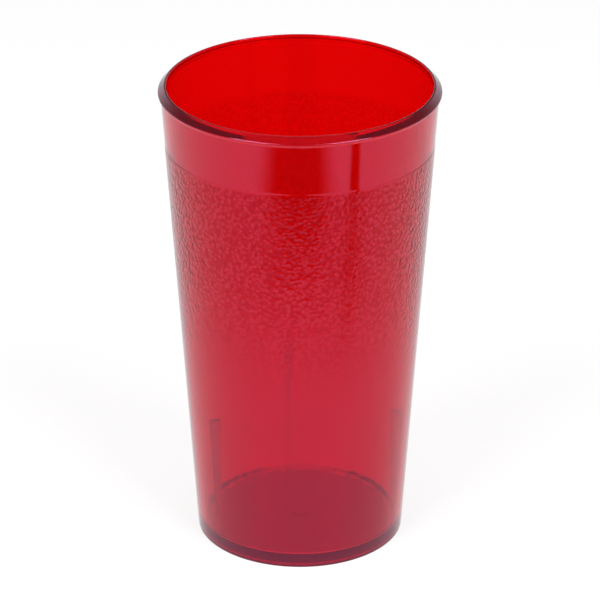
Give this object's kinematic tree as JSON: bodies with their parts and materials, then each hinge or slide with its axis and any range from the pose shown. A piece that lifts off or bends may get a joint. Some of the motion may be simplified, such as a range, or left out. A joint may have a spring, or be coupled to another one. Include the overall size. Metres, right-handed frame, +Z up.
{
  "type": "plastic tumbler",
  "caption": "Straight-tapered clear red stacking tumbler with a beaded rim, a smooth drinking band, a pebbled body and a ring foot, moulded in one piece.",
  "frame": {"origin": "centre of the foot ring, on the surface the tumbler stands on", "axes": "+Z up along the axis of the mouth, +X to the right and -Y towards the viewer of the picture"},
  "size_m": [0.086, 0.086, 0.149],
  "materials": {
    "red_clear_plastic": "clear ruby red injection-moulded styrene acrylonitrile, glossy inside and on the band, pebbled on the body"
  },
  "bodies": {
    "root": {"tumbler": "red_clear_plastic"}
  },
  "joints": []
}
